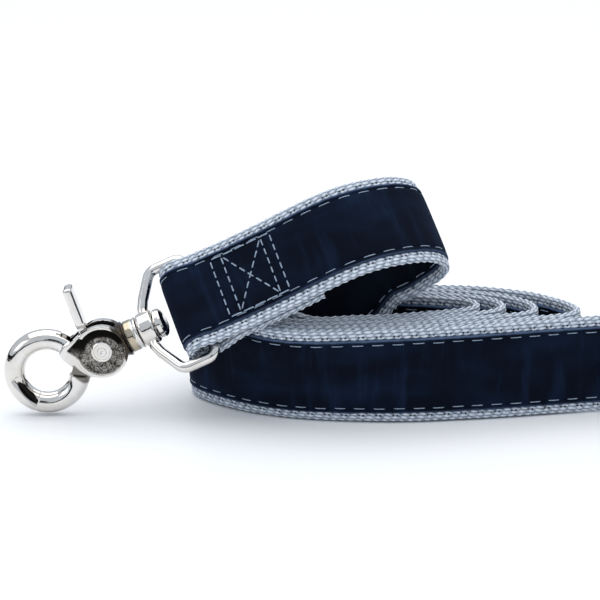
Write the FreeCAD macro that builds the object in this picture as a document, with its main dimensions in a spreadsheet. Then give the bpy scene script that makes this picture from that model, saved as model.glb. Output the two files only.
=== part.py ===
# Velvet-faced webbing lead with a swivel trigger snap.
# The strap stands on its edge in a loose flat coil; the snap end crosses over the top of the coil
# and the hand loop lies past the outer end.  Millimetres, +Z up, lower strap edges on z = 0.
import FreeCAD, Part
import math, os

V3 = FreeCAD.Vector
doc = FreeCAD.newDocument("lead")
sheet = doc.addObject("Spreadsheet::Sheet", "Sizes")
SIZES = [
    ("web_width", 25.4), ("web_thick", 1.8), ("velvet_width", 20.2), ("velvet_thick", 0.55), ("turn_gap", 0.35),
    ("fold_x", -25.7), ("fold_y", 6.965), ("fold_z", 28.807),
    ("org_x", 84.8975), ("org_y", 15.2185),
    ("bar_half", 14.4), ("wire_r", 1.4), ("eye_reach", 9.2), ("eye_knee_x", 13.2), ("eye_knee_y", 7.8),
    ("hub_near", 12.1), ("hub_far", 16.5), ("hub_r", 4.4), ("hub_bore_r", 1.95),
    ("post_r", 1.9), ("post_head_r", 3.8), ("post_head_near", 9.4), ("post_head_far", 11.95), ("post_end", 19.5),
    ("collar_near", 16.65), ("collar_far", 19.9), ("collar_r", 4.2), ("neck_r", 4.7), ("neck_far", 23.4),
    ("pivot_x", 27.2), ("pivot_y", 0.2), ("cheek_r", 6.8), ("cheek_half", 4.1), ("slot_half", 1.75), ("slot_r", 7.45),
    ("ring_x", 42.8), ("ring_y", 0.65), ("ring_mid_r", 8.4), ("ring_wire_r", 2.7),
    ("jaw_disc_r", 4.8), ("jaw_half", 1.65), ("pin_r", 1.5), ("pin_hole_r", 1.55), ("pin_head_r", 2.65), ("pin_head_h", 0.75),
    ("panel_depth", 0.7), ("lever_thick", 2.3), ("lever_half", 2.9), ("lever_tip_y", 18.6),
    ("spring_r", 2.45), ("spring_wire", 0.22), ("spring_turns", 3),
]
for i, (name, val) in enumerate(SIZES):
    sheet.set("A%d" % (i + 1), str(val))
    sheet.setAlias("A%d" % (i + 1), name)
doc.recompute()
S = {name: float(sheet.get(name)) for name, _ in SIZES}

# ------------------------------------------------------------------ small vector helpers
def add(a, b): return (a[0] + b[0], a[1] + b[1], a[2] + b[2])
def sub(a, b): return (a[0] - b[0], a[1] - b[1], a[2] - b[2])
def mul(a, k): return (a[0] * k, a[1] * k, a[2] * k)
def dot(a, b): return a[0] * b[0] + a[1] * b[1] + a[2] * b[2]
def cross(a, b): return (a[1] * b[2] - a[2] * b[1], a[2] * b[0] - a[0] * b[2], a[0] * b[1] - a[1] * b[0])
def norm(a): return math.sqrt(dot(a, a))
def unit(a): return mul(a, 1 / norm(a))
def vec(a): return V3(a[0], a[1], a[2])

def spline(xs, ys):
    """natural cubic spline through the points; returns a function"""
    n = len(xs); h = [xs[i + 1] - xs[i] for i in range(n - 1)]
    l = [1.0] * n; mu = [0.0] * n; z = [0.0] * n
    for i in range(1, n - 1):
        al = 3 * ((ys[i + 1] - ys[i]) / h[i] - (ys[i] - ys[i - 1]) / h[i - 1])
        l[i] = 2 * (xs[i + 1] - xs[i - 1]) - h[i - 1] * mu[i - 1]
        mu[i] = h[i] / l[i]; z[i] = (al - h[i - 1] * z[i - 1]) / l[i]
    c = [0.0] * n; b = [0.0] * (n - 1); d = [0.0] * (n - 1)
    for j in range(n - 2, -1, -1):
        c[j] = z[j] - mu[j] * c[j + 1]
        b[j] = (ys[j + 1] - ys[j]) / h[j] - h[j] * (c[j + 1] + 2 * c[j]) / 3
        d[j] = (c[j + 1] - c[j]) / (3 * h[j])
    def f(x):
        j = 0
        while j < n - 2 and x > xs[j + 1]: j += 1
        t = x - xs[j]
        return ys[j] + b[j] * t + c[j] * t * t + d[j] * t ** 3
    return f

# ------------------------------------------------------------------ strap route
T_ALL = S["web_thick"] + 2 * S["velvet_thick"]
PITCH = T_ALL + S["turn_gap"]
HALF = S["web_width"] / 2
BAR = (S["fold_x"], S["fold_y"], S["fold_z"])          # middle of the eye's strap bar
W0 = unit((0.33, -0.62, -0.71))                        # across the strap at the snap end, top edge to lower edge
A0 = unit(sub((1, 0, 0), mul(W0, W0[0])))
N0 = cross(W0, A0)                                     # out of the strap's front face there
def fold_point(a, b): return add(BAR, add(mul(A0, a), mul(N0, b)))

# middle line of the front layer, in the plane square to W0: up from the fold, right turn, back down
FA = [-2.4, 0, 5, 10, 15, 20, 25, 30, 35, 40, 45, 50, 55, 58.3, 60.8, 62.3, 62.6, 61.7, 59.9, 57.4, 54.2]
FB = [3.25, 3.3, 4.35, 5.55, 7.3, 9.05, 11.05, 13.05, 14.75, 15.75, 15.65, 14.55, 12.55, 10.25, 7.45, 4.35, 1.45, -1.05, -3.15, -4.95, -7.25]
FOLD_R = 3.65
def fold_controls():
    ff = spline(FA[:12], FB[:12]); out = []
    a = 28.3
    while a > -1.9:
        e = 1e-3; sl = (ff(a + e) - ff(a - e)) / (2 * e); q = math.hypot(1, sl)
        t = min(max((a + 2.4) / 11.0, 0.0), 1.0); t = t * t * (3 - 2 * t)
        g = (1 - t) * 2 * FOLD_R + t * (T_ALL + 0.30)
        out.append((a + sl / q * g, ff(a) - g / q)); a -= 2.2
    for k in range(11):
        th = -math.pi / 2 - k * math.pi / 10
        out.append((-2.4 + FOLD_R * math.cos(th), FB[0] - FOLD_R + FOLD_R * math.sin(th)))
    return out + list(zip(FA, FB))[1:]

def offset_poly(pts, d):
    out = []; n = len(pts)
    for i in range(n):
        a = pts[max(i - 1, 0)]; b = pts[min(i + 1, n - 1)]
        tx, ty = b[0] - a[0], b[1] - a[1]; q = math.hypot(tx, ty)
        out.append((pts[i][0] - ty / q * d, pts[i][1] + tx / q * d, pts[i][2]))
    return out

# outermost half loop seen from above: back leg, left turn, front leg (x, y, outward lean of the top edge)
C_REF = [(40, 38.0, 0), (31, 39.3, 0), (22, 40.3, 0), (12, 41.0, 0), (2, 41.3, 0), (-8, 40.8, 0), (-16, 38.8, 0), (-22.5, 35.0, 0),
         (-26.6, 29.8, 0), (-27.6, 24.8, 0), (-26.0, 20.2, 0), (-22.8, 16.0, 0), (-18.8, 12.3, 0.6), (-14.5, 9.2, 2.2), (-9.5, 6.5, 4.2),
         (-4, 4.2, 5.2), (2, 2.6, 5.2), (10, 1.3, 4.2), (18, 0.6, 3.0), (26, 0.4, 2.0), (38, 1.7, 1.2), (51, 3.8, 0.5), (64, 6.6, 0.1)]
def coil_plan():
    F = lambda k: offset_poly(C_REF, (5 - k) * PITCH)
    out = [(-3.2, 26.0, 0), (-6.8, 25.5, 0), (-9.0, 23.4, 0), (-8.4, 21.0, 0), (-5.4, 19.2, 0.8), (-1.2, 17.3, 2.5)]
    out += F(1)[16:20] + [(37.5, 15.7, 1.0), (42.6, 17.2, 0.6), (45.6, 20.2, 0.2), (45.4, 23.4, 0), (42.2, 26.2, 0), (35.5, 28.4, 0)]
    b = F(2)
    out += b[2:5] + [(-6, 31.2, 0), (-11.6, 29.8, 0), (-15.0, 27.2, 0), (-16.0, 24.2, 0), (-14.8, 21.8, 0.2), (-12.4, 19.9, 0.8)] + b[13:20]
    out += [(38, 12.1, 1.0), (47.0, 14.3, 0.5), (51.4, 17.2, 0.2), (52.6, 21.2, 0), (50.0, 25.7, 0), (44.8, 29.3, 0)]
    out += F(3)[1:20] + [(38, 8.7, 1.0), (49, 10.6, 0.5), (56.5, 12.6, 0.2), (60.3, 15.8, 0), (60.5, 20.6, 0), (57.0, 26.3, 0), (51.3, 30.4, 0), (45.2, 33.3, 0)]
    out += F(4)[1:20] + [(38, 5.2, 1.1), (51, 7.3, 0.5), (63, 9.9, 0.1), (69.2, 12.4, 0), (71.6, 16.6, 0), (70.3, 21.2, 0), (66.6, 26.2, 0), (61.2, 31.0, 0),
                         (54.6, 34.6, 0), (47.4, 36.9, 0)]
    return out + C_REF + [(77.5, 9.6, 0), (86, 11.3, 0), (94, 12.0, 0)]
HAND = [(102, 12.1), (112, 12.1), (122, 11.9), (131, 10.0), (142, 4.6), (156, -2.4), (172, -7.6), (190, -10.4), (208, -10.6), (225, -7.4),
        (238, -0.2), (243.5, 8.2), (244.2, 14.5), (242.6, 21.0), (236, 29.2), (224, 35.2), (208, 38.2), (190, 38.0), (172, 34.6), (156, 29.0),
        (142, 22.2), (131, 17.0), (122, 12.1 + PITCH), (112, 11.95 + PITCH), (102, 11.95 + PITCH), (93.5, 11.85 + PITCH)]
RETURN = [((20.6, 25.3, 35.0), (0.32, -0.58, -0.75)), ((14.6, 25.6, 29.3), (0.27, -0.47, -0.84)),
          ((8.6, 25.9, 23.8), (0.20, -0.33, -0.92)), ((2.6, 26.1, 18.6), (0.10, -0.15, -0.98))]

def controls():
    """(mid point, width direction, region) along the strap"""
    fc = fold_controls(); ctl = [(fold_point(a, b), W0, "snap_end") for a, b in fc]
    for P, W in RETURN: ctl.append((P, unit(W), "return"))
    plan = coil_plan(); n = len(plan); plan = plan + [(x, y, 0) for x, y in HAND]
    for i, (x, y, lean) in enumerate(plan):
        a = plan[max(i - 1, 0)]; b = plan[min(i + 1, len(plan) - 1)]
        tx, ty = b[0] - a[0], b[1] - a[1]; q = math.hypot(tx, ty); nx, ny = ty / q, -tx / q
        hz = math.sqrt(S["web_width"] ** 2 - lean * lean)
        z = {0: 14.5, 1: 12.95}.get(i, hz / 2)
        ctl.append(((x + nx * lean / 2, y + ny * lean / 2, z), unit((-nx * lean, -ny * lean, -hz)), "coil" if i < n else "hand"))
    return ctl

CTL = controls()
SS = [0.0]
for i in range(1, len(CTL)): SS.append(SS[-1] + norm(sub(CTL[i][0], CTL[i - 1][0])))
FX = [spline(SS, [c[0][k] for c in CTL]) for k in range(3)]
FW = [spline(SS, [c[1][k] for c in CTL]) for k in range(3)]
def at(u):
    P = tuple(f(u) for f in FX); e = 0.02
    T = unit(sub(tuple(f(min(u + e, SS[-1])) for f in FX), tuple(f(max(u - e, 0)) for f in FX)))
    W = tuple(f(u) for f in FW); W = unit(sub(W, mul(T, dot(W, T))))
    return P, T, W, cross(T, W)
LEN = 0.0; prev = FX[0](0), FX[1](0), FX[2](0); LTAB = [(0.0, 0.0)]
for i in range(1, 6001):
    u = SS[-1] * i / 6000; p = tuple(f(u) for f in FX); LEN += norm(sub(p, prev)); prev = p; LTAB.append((LEN, u))
def length_at(u):
    j = min(int(u / SS[-1] * 6000), 5999); (l0, u0), (l1, u1) = LTAB[j], LTAB[j + 1]
    return l0 + (l1 - l0) * (u - u0) / (u1 - u0)
I_RET = [i for i, c in enumerate(CTL) if c[2] == "return"][0]
I_COIL = [i for i, c in enumerate(CTL) if c[2] == "coil"][0]
I_HAND = [i for i, c in enumerate(CTL) if c[2] == "hand"][0]
U_RET, U_COIL, U_HAND = SS[I_RET], SS[I_COIL + 1], SS[I_HAND]
print("strap length %.1f mm: snap fold and upper turn %.1f, return %.1f, coil and tail %.1f, hand loop %.1f" % (
    LEN, length_at(U_RET), length_at(U_COIL) - length_at(U_RET), length_at(U_HAND) - length_at(U_COIL), LEN - length_at(U_HAND)))

SHIFT = V3(-S["org_x"], -S["org_y"], 0)
def feature(label, shape, place=None):
    o = doc.addObject("Part::Feature", label); o.Label = label; o.Shape = shape
    o.Placement = FreeCAD.Placement(SHIFT, FreeCAD.Rotation()) if place is None else place
    return o

def quad(p, W, N, lo, hi, w):
    """closed rectangle across the strap between offsets lo and hi, w wide"""
    pts = [add(p, add(mul(N, d), mul(W, s * w / 2))) for d, s in ((lo, -1), (hi, -1), (hi, 1), (lo, 1))]
    return [vec(q) for q in pts]

def strip(us, frames, lo, hi, w):
    """closed solid made of short flat-sided blocks that share their end rectangles"""
    q = [quad(f[0], f[2], f[3], lo, hi, w) for f in frames]
    faces = []
    def face3(a, b, c): faces.append(Part.Face(Part.makePolygon([a, b, c, a])))
    for i in range(len(q) - 1):
        for k in range(4):
            a, b, c, d = q[i][k], q[i][(k + 1) % 4], q[i + 1][(k + 1) % 4], q[i + 1][k]
            n = (b - a).cross(d - a)
            if n.Length > 0 and abs((c - a).dot(n)) / n.Length < 1e-6:
                faces.append(Part.Face(Part.makePolygon([a, b, c, d, a])))
            else:
                face3(a, b, c); face3(a, c, d)
    for e in (q[0], q[-1]): faces.append(Part.Face(Part.makePolygon(e + [e[0]])))
    shell = Part.makeShell(faces); shell.sewShape(); shell = shell.Shells[0] if shell.ShapeType != "Shell" else shell
    solid = Part.makeSolid(shell)
    if solid.Volume < 0: solid.reverse()
    return solid

def arcs_between(u0, u1, flat):
    """biarc fit of the middle line between the control stations; flat maps a point and direction to the drawing plane"""
    st = [u for u in SS if u0 - 1e-6 <= u <= u1 + 1e-6]
    us = []
    for a, b in zip(st[:-1], st[1:]):
        us.append(a)
        if b - a > 3.0:
            m = 2 if b - a < 9 else 3
            us += [a + (b - a) * k / m for k in range(1, m)]
    us.append(st[-1])
    out = []
    for a, b in zip(us[:-1], us[1:]):
        (ax, ay), (adx, ady) = flat(a); (bx, by), (bdx, bdy) = flat(b)
        vx, vy = bx - ax, by - ay
        # equal-tangent-length biarc
        tx, ty = adx + bdx, ady + bdy
        den = 2 * (1 - (adx * bdx + ady * bdy)); vt = vx * tx + vy * ty; vv = vx * vx + vy * vy
        if abs(den) < 1e-9: d = vv / (2 * vt) if abs(vt) > 1e-12 else math.sqrt(vv) / 2
        else: d = (-vt + math.sqrt(vt * vt + den * vv)) / den
        c1 = (ax + adx * d, ay + ady * d); c2 = (bx - bdx * d, by - bdy * d)
        j = ((c1[0] + c2[0]) / 2, (c1[1] + c2[1]) / 2)
        jd = (c2[0] - c1[0], c2[1] - c1[1]); q = math.hypot(*jd); jd = (jd[0] / q, jd[1] / q)
        out.append(((ax, ay), (adx, ady), j, jd)); out.append((j, jd, (bx, by), (bdx, bdy)))
    return out

def side_edges(arcs, off, to3):
    """edges of the line beside the middle line at distance off; to3 lifts a drawing point into space"""
    edges = []
    for (a, da, b, db) in arcs:
        na, nb = (-da[1], da[0]), (-db[1], db[0])
        p = (a[0] + na[0] * off, a[1] + na[1] * off); r = (b[0] + nb[0] * off, b[1] + nb[1] * off)
        turn = da[0] * db[1] - da[1] * db[0]
        if math.hypot(r[0] - p[0], r[1] - p[1]) < 1e-4: continue
        if abs(turn) < 2e-4:
            edges.append(Part.LineSegment(to3(p), to3(r)).toShape()); continue
        # middle of the arc: the mean normal, at the arc's own radius
        nm = (na[0] + nb[0], na[1] + nb[1]); q = math.hypot(*nm); nm = (nm[0] / q, nm[1] / q)
        ch = (b[0] - a[0], b[1] - a[1]); ang = math.asin(max(-1, min(1, turn)))
        if dot((da[0], da[1], 0), (db[0], db[1], 0)) < 0: ang = math.copysign(math.pi - abs(ang), ang)
        R = math.hypot(*ch) / (2 * math.sin(abs(ang) / 2)) * (1 if ang > 0 else -1)
        cx, cy = a[0] + na[0] * R, a[1] + na[1] * R
        m = (cx - nm[0] * (R - off), cy - nm[1] * (R - off))
        edges.append(Part.Arc(to3(p), to3(m), to3(r)).toShape())
    return edges

def ribbon(arcs, lo, hi, w, to3, across, mid):
    """solid strap of one layer: outline from both sides and two ends, pushed through the width"""
    e1 = side_edges(arcs, lo, to3); e2 = side_edges(arcs, hi, to3)
    a, b = e1[0].Vertexes[0].Point, e2[0].Vertexes[0].Point
    c, d = e1[-1].Vertexes[-1].Point, e2[-1].Vertexes[-1].Point
    edges = e1 + e2 + [Part.LineSegment(a, b).toShape(), Part.LineSegment(c, d).toShape()]
    wire = Part.Wire(Part.__sortEdges__(edges))
    face = Part.Face(wire)
    face.translate(across * (mid - w / 2))
    s = face.extrude(across * w)
    if s.ShapeType != "Solid": s = s.Solids[0]
    return s

LAYERS = [("webbing", -S["web_thick"] / 2, S["web_thick"] / 2, S["web_width"]),
          ("velvet_inner", S["web_thick"] / 2, T_ALL / 2, S["velvet_width"]),
          ("velvet_outer", -T_ALL / 2, -S["web_thick"] / 2, S["velvet_width"])]
parts = []

# snap end: everything square to W0 up to the start of the return
def flat_fold(u):
    P, T, W, N = at(u); r = sub(P, BAR)
    return (dot(r, A0), dot(r, N0)), (dot(T, A0), dot(T, N0))
def fold3(p): return vec(fold_point(p[0], p[1]))
I_SNAP_END = I_RET - 1
U_SNAP = SS[I_SNAP_END]
ARC_FOLD = arcs_between(0.0, U_SNAP, flat_fold)
ARC_FOLD[-1] = ARC_FOLD[-1]
def flat_plan(u):
    P, T, W, N = at(u); q = math.hypot(T[0], T[1])
    return (P[0], P[1]), (T[0] / q, T[1] / q)
def plan3(p): return V3(p[0], p[1], 0)
ARC_COIL = arcs_between(U_COIL, U_HAND, flat_plan)
ARC_HAND = arcs_between(U_HAND, SS[-1], flat_plan)

# in plan and in the fold drawing the left side of travel is the face that N points to, or its reverse
(pf, tf) = flat_fold(U_SNAP / 2); P, T, W, N = at(U_SNAP / 2)
left = add(mul(A0, -tf[1]), mul(N0, tf[0])); SGN_FOLD = 1 if dot(left, N) > 0 else -1
(pf, tf) = flat_plan(U_COIL + 100); P, T, W, N = at(U_COIL + 100)
SGN_PLAN = 1 if dot((-tf[1], tf[0], 0), N) > 0 else -1
# the return: from the snap end's last rectangle to the coil's first one
def frame_fold_end():
    (x, y), (dx, dy) = flat_fold(U_SNAP); T = unit(add(mul(A0, dx), mul(N0, dy)))
    return fold_point(x, y), T, W0, cross(T, W0)
def frame_coil_start():
    (x, y), (dx, dy) = flat_plan(U_COIL); T = (dx, dy, 0.0); W = (0.0, 0.0, -1.0)
    return (x, y, HALF), T, W, cross(T, W)
n_ret = 16
fr = [frame_fold_end()] + [at(U_SNAP + (U_COIL - U_SNAP) * k / n_ret) for k in range(1, n_ret)] + [frame_coil_start()]
for name, lo, hi, w in LAYERS:
    a, b = (lo, hi) if SGN_FOLD > 0 else (-hi, -lo)
    parts.append(feature(name + "_snap_end", ribbon(ARC_FOLD, a, b, w, fold3, vec(W0), 0.0)))
    parts.append(feature(name + "_return", strip(None, fr, lo, hi, w)))
    a, b = (lo, hi) if SGN_PLAN > 0 else (-hi, -lo)
    parts.append(feature(name + "_coil", ribbon(ARC_COIL, a, b, w, plan3, V3(0, 0, 1), HALF)))
    parts.append(feature(name + "_hand_loop", ribbon(ARC_HAND, a, b, w, plan3, V3(0, 0, 1), HALF)))
for o in parts:
    print(o.Label, o.Shape.ShapeType, o.Shape.isValid(), round(o.Shape.Volume, 1), len(o.Shape.Faces))

# ------------------------------------------------------------------ metal: local frames
# hook frame: x from the strap bar toward the snap ring, y up the trigger side, z square to the hook's flat
HX = unit((-0.71, 0, -0.33)); HY = (HX[2], 0.0, -HX[0]); HZ = cross(HX, HY)
EZ = cross(HX, W0)
def frame(x, y, z, base):
    m = FreeCAD.Matrix(x[0], y[0], z[0], base[0], x[1], y[1], z[1], base[1], x[2], y[2], z[2], base[2], 0, 0, 0, 1)
    return FreeCAD.Placement(m)
BASE = sub(BAR, (S["org_x"], S["org_y"], 0))
HOOK = frame(HX, HY, HZ, BASE)
EYE = frame(HX, W0, EZ, BASE)

def prim(kind, label, exprs, pos=(0, 0, 0), rot=None, fixed=None):
    o = doc.addObject("Part::" + kind, label)
    for k, v in (fixed or {}).items(): setattr(o, k, v)
    o.Placement = FreeCAD.Placement(V3(*pos), rot or FreeCAD.Rotation())
    for k, v in exprs.items(): o.setExpression(k, v)
    return o
def boolean(kind, label, objs):
    if kind == "Cut":
        o = doc.addObject("Part::Cut", label); o.Base, o.Tool = objs
    else:
        o = doc.addObject("Part::Multi" + kind, label); o.Shapes = objs
    return o
ALONG_X = FreeCAD.Rotation(V3(0, 1, 0), 90)
def sketch_on(body, role, label, offset=0.0):
    sk = body.newObject("Sketcher::SketchObject", label)
    plane = [f for f in body.Origin.OriginFeatures if f.Role == role][0]
    sk.AttachmentSupport = [(plane, "")]; sk.MapMode = "FlatFace"
    sk.AttachmentOffset = FreeCAD.Placement(V3(0, 0, offset), FreeCAD.Rotation())
    return sk

# --- swivel eye: bent wire loop, strap bar and hub with the post's bore
def rounded(points, radii):
    """closed outline of lines and fillet arcs"""
    n = len(points); geo = []; ends = []
    for i in range(n):
        p = V3(*points[i], 0); a = V3(*points[i - 1], 0); b = V3(*points[(i + 1) % n], 0); r = radii[i]
        u = (a - p).normalize(); v = (b - p).normalize(); half = u.getAngle(v) / 2
        if r <= 0: ends.append((p, p, None)); continue
        d = r / math.tan(half); c = p + (u + v).normalize() * (r / math.sin(half))
        s, e = p + u * d, p + v * d; m = c + (p - c).normalize() * r
        ends.append((s, e, Part.Arc(s, m, e)))
    for i in range(n):
        if ends[i][2] is not None: geo.append(ends[i][2])
        nxt = ends[(i + 1) % n]
        geo.append(Part.LineSegment(ends[i][1], nxt[0]))
    return geo
eye = doc.addObject("PartDesign::Body", "EyeBody"); eye.Label = "swivel_eye"
hub_mid = (S["hub_near"] + S["hub_far"]) / 2
loop = [(hub_mid, 0.0), (hub_mid, 5.2), (S["eye_knee_x"] + 0.0, S["eye_knee_y"]), (S["eye_reach"], S["bar_half"]), (0.0, S["bar_half"]),
        (0.0, -S["bar_half"]), (S["eye_reach"], -S["bar_half"]), (S["eye_knee_x"], -S["eye_knee_y"]), (hub_mid, -5.2)]
path = sketch_on(eye, "XY_Plane", "EyePath")
path.addGeometry(rounded(loop, [0, 2.0, 3.0, 3.0, 2.4, 2.4, 3.0, 3.0, 2.0]), False)
prof = sketch_on(eye, "XZ_Plane", "EyeWire")
prof.addGeometry(Part.Circle(V3(hub_mid, 0, 0), V3(0, 0, 1), S["wire_r"]), False)
doc.recompute()
pipe = eye.newObject("PartDesign::AdditivePipe", "EyePipe"); pipe.Profile = prof; pipe.Spine = path; doc.recompute()
hub_sk = sketch_on(eye, "YZ_Plane", "HubRing", S["hub_near"])
hub_sk.addGeometry(Part.Circle(V3(0, 0, 0), V3(0, 0, 1), S["hub_r"]), False)
hub = eye.newObject("PartDesign::Pad", "HubPad"); hub.Profile = hub_sk; hub.setExpression("Length", "Sizes.hub_far - Sizes.hub_near"); doc.recompute()
fil = eye.newObject("PartDesign::Fillet", "HubRound")
rim = [i + 1 for i, e in enumerate(hub.Shape.Edges) if e.Curve.TypeId == "Part::GeomCircle" and abs(e.Curve.Radius - S["hub_r"]) < 1e-6
       and abs(abs(e.Curve.Axis.x) - 1) < 1e-6 and (abs(e.Curve.Center.x - S["hub_near"]) < 1e-6 or abs(e.Curve.Center.x - S["hub_far"]) < 1e-6)]
fil.Base = (hub, ["Edge%d" % i for i in rim]); fil.Radius = 0.9; doc.recompute()
if "Invalid" in fil.State or fil.Shape.isNull() or not fil.Shape.isValid():
    eye.removeObject(fil); doc.removeObject(fil.Name); eye.Tip = hub; doc.recompute(); print("hub left sharp")
bore_sk = sketch_on(eye, "YZ_Plane", "BoreRing", S["hub_far"] + 0.5)
bore_sk.addGeometry(Part.Circle(V3(0, 0, 0), V3(0, 0, 1), S["hub_bore_r"]), False)
v0 = eye.Shape.Volume
bore = eye.newObject("PartDesign::Pocket", "HubBore"); bore.Profile = bore_sk; bore.Length = 6.0; doc.recompute()
if eye.Shape.Volume > v0 - 20: bore.Reversed = True; doc.recompute()
print("eye bore removed", round(v0 - eye.Shape.Volume, 2))
eye.Placement = EYE

def revolved(label, outline):
    """turned piece: outline (x, r) revolved about the x axis"""
    body = doc.addObject("PartDesign::Body", label + "_body"); body.Label = label
    sk = sketch_on(body, "XY_Plane", label + "_outline")
    pts = [V3(x, r, 0) for x, r in outline]
    for a, b in zip(pts, pts[1:] + pts[:1]): sk.addGeometry(Part.LineSegment(a, b), False)
    doc.recompute()
    rev = body.newObject("PartDesign::Revolution", label + "_turned"); rev.Profile = sk; rev.ReferenceAxis = (sk, ["H_Axis"]); rev.Angle = 360.0
    doc.recompute()
    return body
# --- swivel post: fixed in the hook's collar, headed over inside the loop
hd0, hd1, hr, pr = S["post_head_near"], S["post_head_far"], S["post_head_r"], S["post_r"]
post = revolved("swivel_post", [(hd0, 0), (hd0, 2.1), (hd0 + 0.25, 2.9), (hd0 + 0.7, hr - 0.25), (hd0 + 1.2, hr), (hd1 - 0.35, hr), (hd1 - 0.1, hr - 0.2), (hd1, hr - 0.6),
                                (hd1, pr), (S["post_end"], pr), (S["post_end"], 0)])
post.Placement = HOOK
# --- rivet through the cheeks and the trigger
ch = S["cheek_half"]; ph = ch - S["panel_depth"]; hh = S["pin_head_h"]; R = S["pin_head_r"]
zin = ph  # the heads sit on the recessed panels
half = [(zin, S["pin_r"]), (zin, R - 0.2), (zin + 0.12, R), (zin + hh - 0.15, R), (zin + hh, R - 0.2), (zin + hh, R - 0.55), (zin + hh - 0.18, R - 0.7),
        (zin + hh - 0.18, 1.25), (zin + hh + 0.1, 1.05), (zin + hh + 0.12, 0.55), (zin + hh - 0.25, 0.0)]
rivet = revolved("rivet_pin", [(-x, r) for x, r in reversed(half)] + half)
PIVOT = HOOK.multiply(FreeCAD.Placement(V3(S["pivot_x"], S["pivot_y"], 0), FreeCAD.Rotation(V3(0, 1, 0), -90)))
rivet.Placement = PIVOT

# --- hook body: collar, neck, slotted cheeks and the fixed ring arm
Z = FreeCAD.Rotation()
def rotz(a): return FreeCAD.Rotation(V3(0, 0, 1), a)
px, py, rx, ry = S["pivot_x"], S["pivot_y"], S["ring_x"], S["ring_y"]
collar = prim("Cylinder", "collar", {"Radius": "Sizes.collar_r", "Height": "Sizes.collar_far - Sizes.collar_near"}, (S["collar_near"], 0, 0), ALONG_X)
waist = prim("Cone", "waist", {"Radius1": "Sizes.collar_r - 0.55", "Radius2": "Sizes.neck_r - 0.2", "Height": "0.9 mm"}, (S["collar_far"] - 0.05, 0, 0), ALONG_X)
neck = prim("Cone", "neck", {"Radius1": "Sizes.neck_r", "Radius2": "Sizes.cheek_half - 0.3", "Height": "Sizes.neck_far - Sizes.collar_far - 0.6"}, (S["collar_far"] + 0.6, 0, 0), ALONG_X)
cheek = prim("Cylinder", "cheek", {"Radius": "Sizes.cheek_r", "Height": "2 * Sizes.cheek_half"}, (px, py, -S["cheek_half"]))
arm = prim("Torus", "arm", {"Radius1": "Sizes.ring_mid_r", "Radius2": "Sizes.ring_wire_r"}, (rx, ry, 0), rotz(-48.0), {"Angle3": 196.0})
tip_blend = prim("Sphere", "arm_root", {"Radius": "Sizes.ring_wire_r"}, (rx + 8.4 * math.cos(math.radians(148)), ry + 8.4 * math.sin(math.radians(148)), 0))
# web plate between the cheeks' circle and the arm's root
web_sk = doc.addObject("Sketcher::SketchObject", "WebOutline")
web_pts = [(27.2, 6.75), (29.0, 6.8), (30.9, 6.5), (33.0, 5.8), (35.6, 5.4), (37.5, 4.2), (37.2, 2.4), (36.2, 0.3), (34.7, -2.0), (32.7, -4.6), (30.4, -6.0), (27.2, -5.0)]
for a, b in zip(web_pts, web_pts[1:] + web_pts[:1]): web_sk.addGeometry(Part.LineSegment(V3(a[0], a[1], 0), V3(b[0], b[1], 0)), False)
web = doc.addObject("Part::Extrusion", "web"); web.Base = web_sk; web.DirMode = "Custom"; web.Dir = V3(0, 0, 1); web.Solid = True
web.Symmetric = True; web.setExpression("LengthFwd", "2 * Sizes.cheek_half - 0.8")
solid = boolean("Fuse", "hook_blank", [collar, waist, neck, cheek, arm, tip_blend, web])
# slot for the trigger between the cheeks, open at the trigger side and under the arm
slot_a = prim("Cylinder", "slot_round", {"Radius": "Sizes.slot_r", "Height": "2 * Sizes.slot_half"}, (px, py, -S["slot_half"]))
slot_keep = prim("Box", "slot_keep", {"Height": "2 * Sizes.slot_half + 2"}, (px - 5.25, py - 15, -S["slot_half"] - 1), None, {"Length": 30.0, "Width": 30.0})
slot_b = boolean("Common", "slot_main", [slot_a, slot_keep])
slot_c = prim("Cylinder", "slot_lever", {"Height": "2 * Sizes.slot_half"}, (px, py, -S["slot_half"]), rotz(34.0), {"Radius": 11.2, "Angle": 80.0})
slot_d = prim("Cylinder", "slot_tang", {"Height": "2 * Sizes.slot_half"}, (px, py, -S["slot_half"]), rotz(-80.0), {"Radius": 9.7, "Angle": 85.0})
slot = boolean("Fuse", "slot", [slot_b, slot_c, slot_d])
# recessed teardrop panels on both faces
pan = []
for k, sgn in ((0, 1), (1, -1)):
    z0 = S["cheek_half"] - S["panel_depth"] if sgn > 0 else -S["cheek_half"] - 2
    c = prim("Cylinder", "panel_round%d" % k, {}, (px, py, z0), None, {"Radius": 6.0, "Height": S["panel_depth"] + 2})
    pan.append(c)
    zt = S["cheek_half"] - S["panel_depth"] if sgn > 0 else -(S["cheek_half"] - S["panel_depth"]) - 2.0
    ts = doc.addObject("Sketcher::SketchObject", "PanelTail%d" % k)
    tp = [(29.9, 5.0), (31.0, 5.9), (32.8, 5.05), (35.2, 4.1), (34.2, 2.6), (33.3, 1.0), (32.3, -0.9), (31.4, -2.6), (30.6, -3.6)]
    for a, b in zip(tp, tp[1:] + tp[:1]): ts.addGeometry(Part.LineSegment(V3(a[0], a[1], 0), V3(b[0], b[1], 0)), False)
    te = doc.addObject("Part::Extrusion", "panel_tail%d" % k); te.Base = ts; te.DirMode = "Custom"; te.Dir = V3(0, 0, 1); te.Solid = True; te.LengthFwd = 2.0
    te.Placement = FreeCAD.Placement(V3(0, 0, zt), Z)
    pan.append(te)
pin_bore = prim("Cylinder", "pin_bore", {"Radius": "Sizes.pin_r"}, (px, py, -6), None, {"Height": 12.0})
post_bore = prim("Cylinder", "post_bore", {"Radius": "Sizes.post_r", "Height": "Sizes.post_end - Sizes.collar_near + 1"}, (S["collar_near"] - 1, 0, 0), ALONG_X)
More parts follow.
